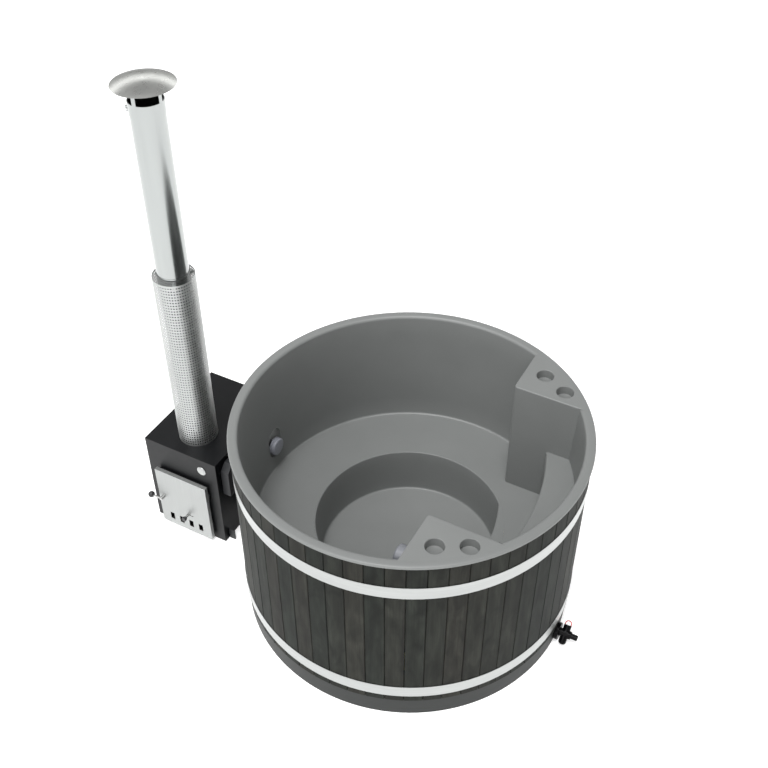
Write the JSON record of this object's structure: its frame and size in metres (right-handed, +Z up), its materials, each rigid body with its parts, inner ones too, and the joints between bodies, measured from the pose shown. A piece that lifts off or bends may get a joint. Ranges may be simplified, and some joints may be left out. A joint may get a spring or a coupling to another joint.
{
  "type": "wood-fired bathing tub",
  "caption": "Round bathing tub with a moulded liner, bench, footwell and corner consoles in a hooped stave jacket, heated by an outside wood stove with a capped flue.",
  "frame": {"origin": "tub axis at the ground, on the underside of the plinth", "axes": "+Z up, -X towards the stove, -Y the way the stove door faces, +X towards the drain valve"},
  "size_m": [2.227, 1.615, 2.43],
  "materials": {
    "liner_grey": "satin",
    "plinth_grey": "satin",
    "stained_wood": "matte",
    "raw_timber": "matte",
    "foam": "matte",
    "band_steel": "satin",
    "fitting_grey": "satin",
    "pipe_plastic": "satin",
    "valve_black": "satin",
    "valve_brass": "polished",
    "loop_red": "gloss",
    "hose_rubber": "matte",
    "clamp_steel": "satin",
    "stove_black": "matte",
    "bracket_grey": "matte",
    "raw_steel": "matte",
    "grate_iron": "matte",
    "rope_gasket": "matte",
    "door_steel": "satin",
    "liner_board": "matte",
    "lever_steel": "satin",
    "stalk_black": "satin",
    "knob_plastic": "satin",
    "flue_steel": "satin",
    "guard_steel": "satin"
  },
  "bodies": {
    "tub": {"liner_footwell": "liner_grey", "liner_bench": "liner_grey", "liner_wall": "liner_grey", "console_far": "liner_grey", "console_near": "liner_grey", "entry_step": "liner_grey", "inlet_niche": "liner_grey", "base_plinth": "plinth_grey", "staves": "stained_wood", "timber_frame": "raw_timber", "floor_insulation": "foam", "bench_insulation": "foam", "upper_band": "band_steel", "lower_band": "band_steel", "band_locks": "band_steel", "band_bolts": "band_steel", "inlet_cap": "fitting_grey", "overflow_fitting": "fitting_grey", "floor_drain": "fitting_grey", "inlet_spigot": "pipe_plastic", "inlet_backnut": "pipe_plastic", "bottom_pipe": "pipe_plastic", "valve_flange": "valve_black", "valve_body": "valve_black", "hose_tail": "valve_black", "upper_hose": "hose_rubber", "lower_hose": "hose_rubber", "hose_clamps": "clamp_steel", "cap_clamp_bolt": "clamp_steel", "hinge_pins": "clamp_steel", "stove_casing": "stove_black", "stove_feet": "stove_black", "door_frame": "stove_black", "hinge_brackets": "stove_black", "side_brackets": "bracket_grey", "firebox": "raw_steel", "stove_stubs": "raw_steel", "flue_neck": "raw_steel", "fire_grate": "grate_iron", "door_gasket": "rope_gasket", "flue_lower": "flue_steel", "flue_upper": "flue_steel", "rain_cap": "flue_steel", "cap_bracket": "flue_steel", "heat_guard": "guard_steel", "guard_spacers": "guard_steel"},
    "door": {"door_panel": "door_steel", "door_inner_frame": "raw_steel", "door_liner": "liner_board", "hinge_leaves": "stove_black", "slider_guides": "raw_steel"},
    "door_handle": {"handle_lever": "lever_steel", "handle_knob": "knob_plastic", "latch_pawl": "raw_steel"},
    "air_slider": {"slider_plate": "raw_steel", "slider_knob": "stalk_black"},
    "valve_handle": {"valve_ball": "valve_brass", "valve_cap": "valve_black", "handle_loop": "loop_red"}
  },
  "joints": [
    {"name": "door_hinge", "type": "hinge", "parent": "tub", "child": "door", "pos_m": [-0.976, -0.269, 0.2], "axis": [0, 0, 1], "range_deg": [0, 95]},
    {"name": "handle_turn", "type": "hinge", "parent": "door", "child": "door_handle", "pos_m": [-1.25, -0.29, 0.205], "axis": [0, -1, 0], "range_deg": [0, 75]},
    {"name": "air_slide", "type": "slide", "parent": "door", "child": "air_slider", "axis": [1, 0, 0], "range_m": [0, 0.0295]},
    {"name": "valve_turn", "type": "hinge", "parent": "tub", "child": "valve_handle", "pos_m": [0.83, 0, 0.045], "axis": [0, 0.766, 0.6428], "range_deg": [0, 90]}
  ]
}
